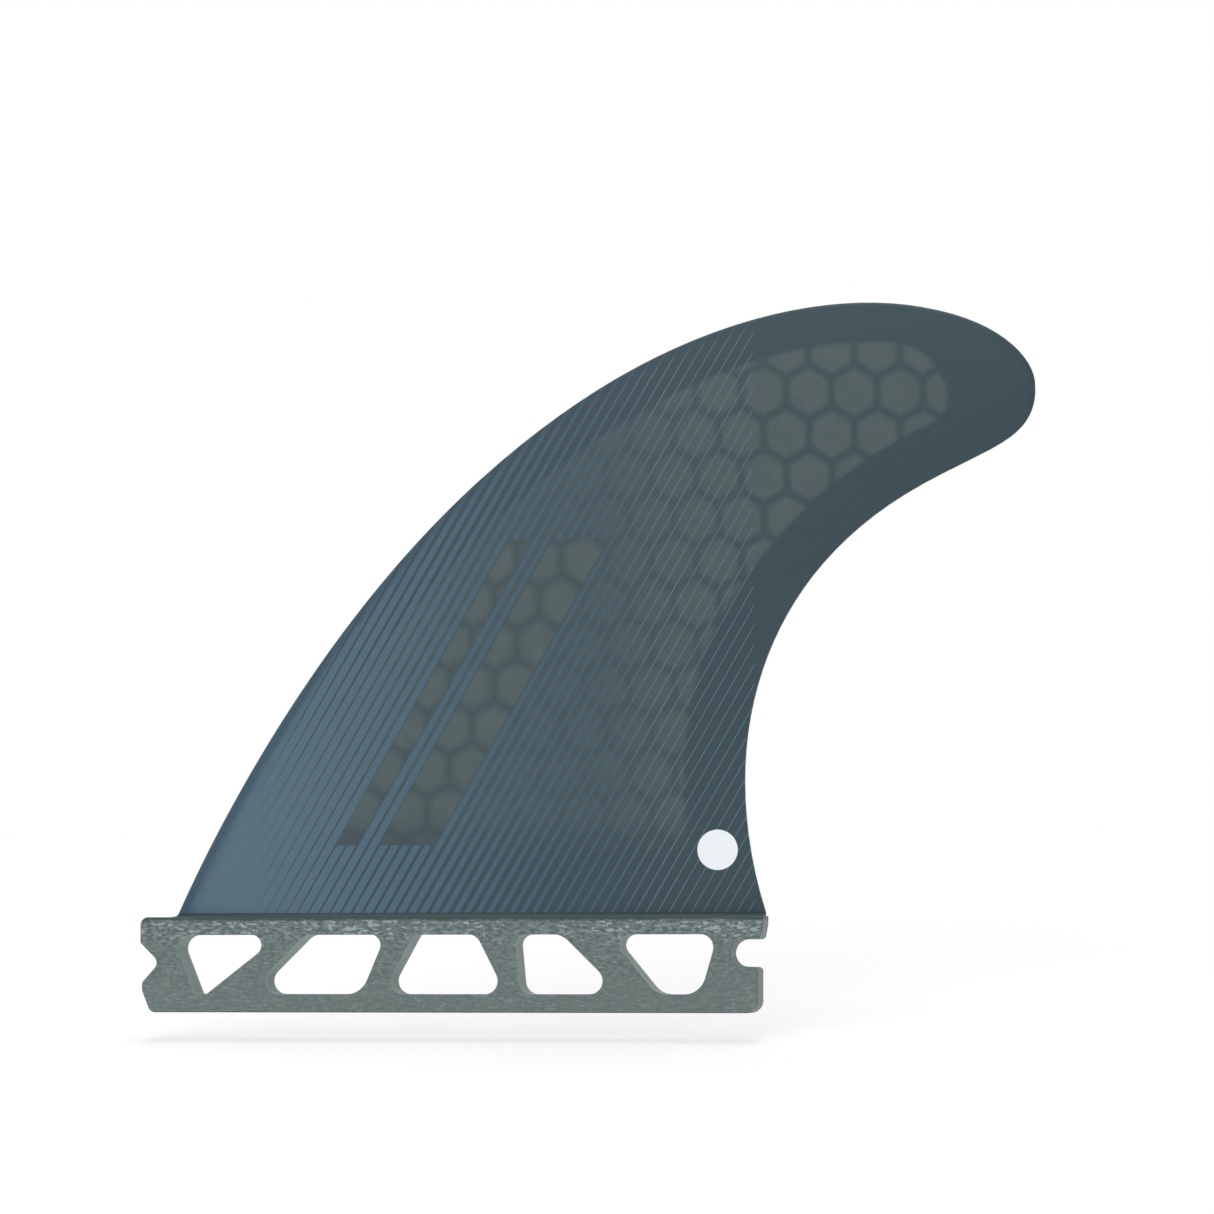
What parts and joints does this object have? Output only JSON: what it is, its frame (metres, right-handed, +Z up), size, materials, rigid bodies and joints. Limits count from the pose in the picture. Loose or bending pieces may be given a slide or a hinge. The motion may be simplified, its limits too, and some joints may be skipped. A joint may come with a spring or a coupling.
{
  "type": "surfboard fin",
  "caption": "Foiled surfboard fin with a swept blade, a moulded single tab with lightening windows, and a honeycomb core under the skin.",
  "frame": {"origin": "middle of the tab's flat bottom face", "axes": "+Z up out of the board along the blade's depth, +X towards the tail of the board, where the blade sweeps, +Y across its thickness"},
  "size_m": [0.1629, 0.007, 0.1269],
  "materials": {
    "laminate": "satin glass-fibre laminate with a striped print",
    "core": "resin-filled honeycomb"
  },
  "bodies": {
    "root": {"fin": "laminate", "honeycomb_core": "core"}
  },
  "joints": []
}
